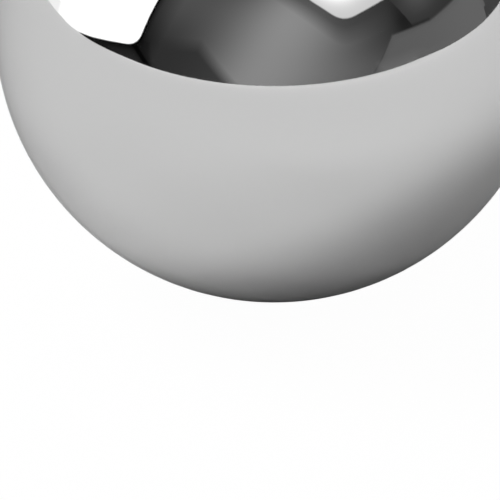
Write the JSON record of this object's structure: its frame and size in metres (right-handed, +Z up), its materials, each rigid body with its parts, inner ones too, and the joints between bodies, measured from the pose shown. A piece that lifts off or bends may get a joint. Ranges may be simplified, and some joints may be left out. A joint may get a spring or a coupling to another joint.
{
  "type": "steel ball",
  "caption": "Solid steel ball, lapped to a true sphere with a mirror finish, for a seat, race, socket or magnet to hold.",
  "frame": {"origin": "the centre of the ball", "axes": "+Z up. The ball is the same in every direction, so the three axes are interchangeable; the stated seat is at its lowest point, on -Z"},
  "size_m": [0.025, 0.025, 0.025],
  "materials": {
    "lapped_steel": "polished"
  },
  "bodies": {
    "root": {"ball": "lapped_steel"}
  },
  "joints": []
}
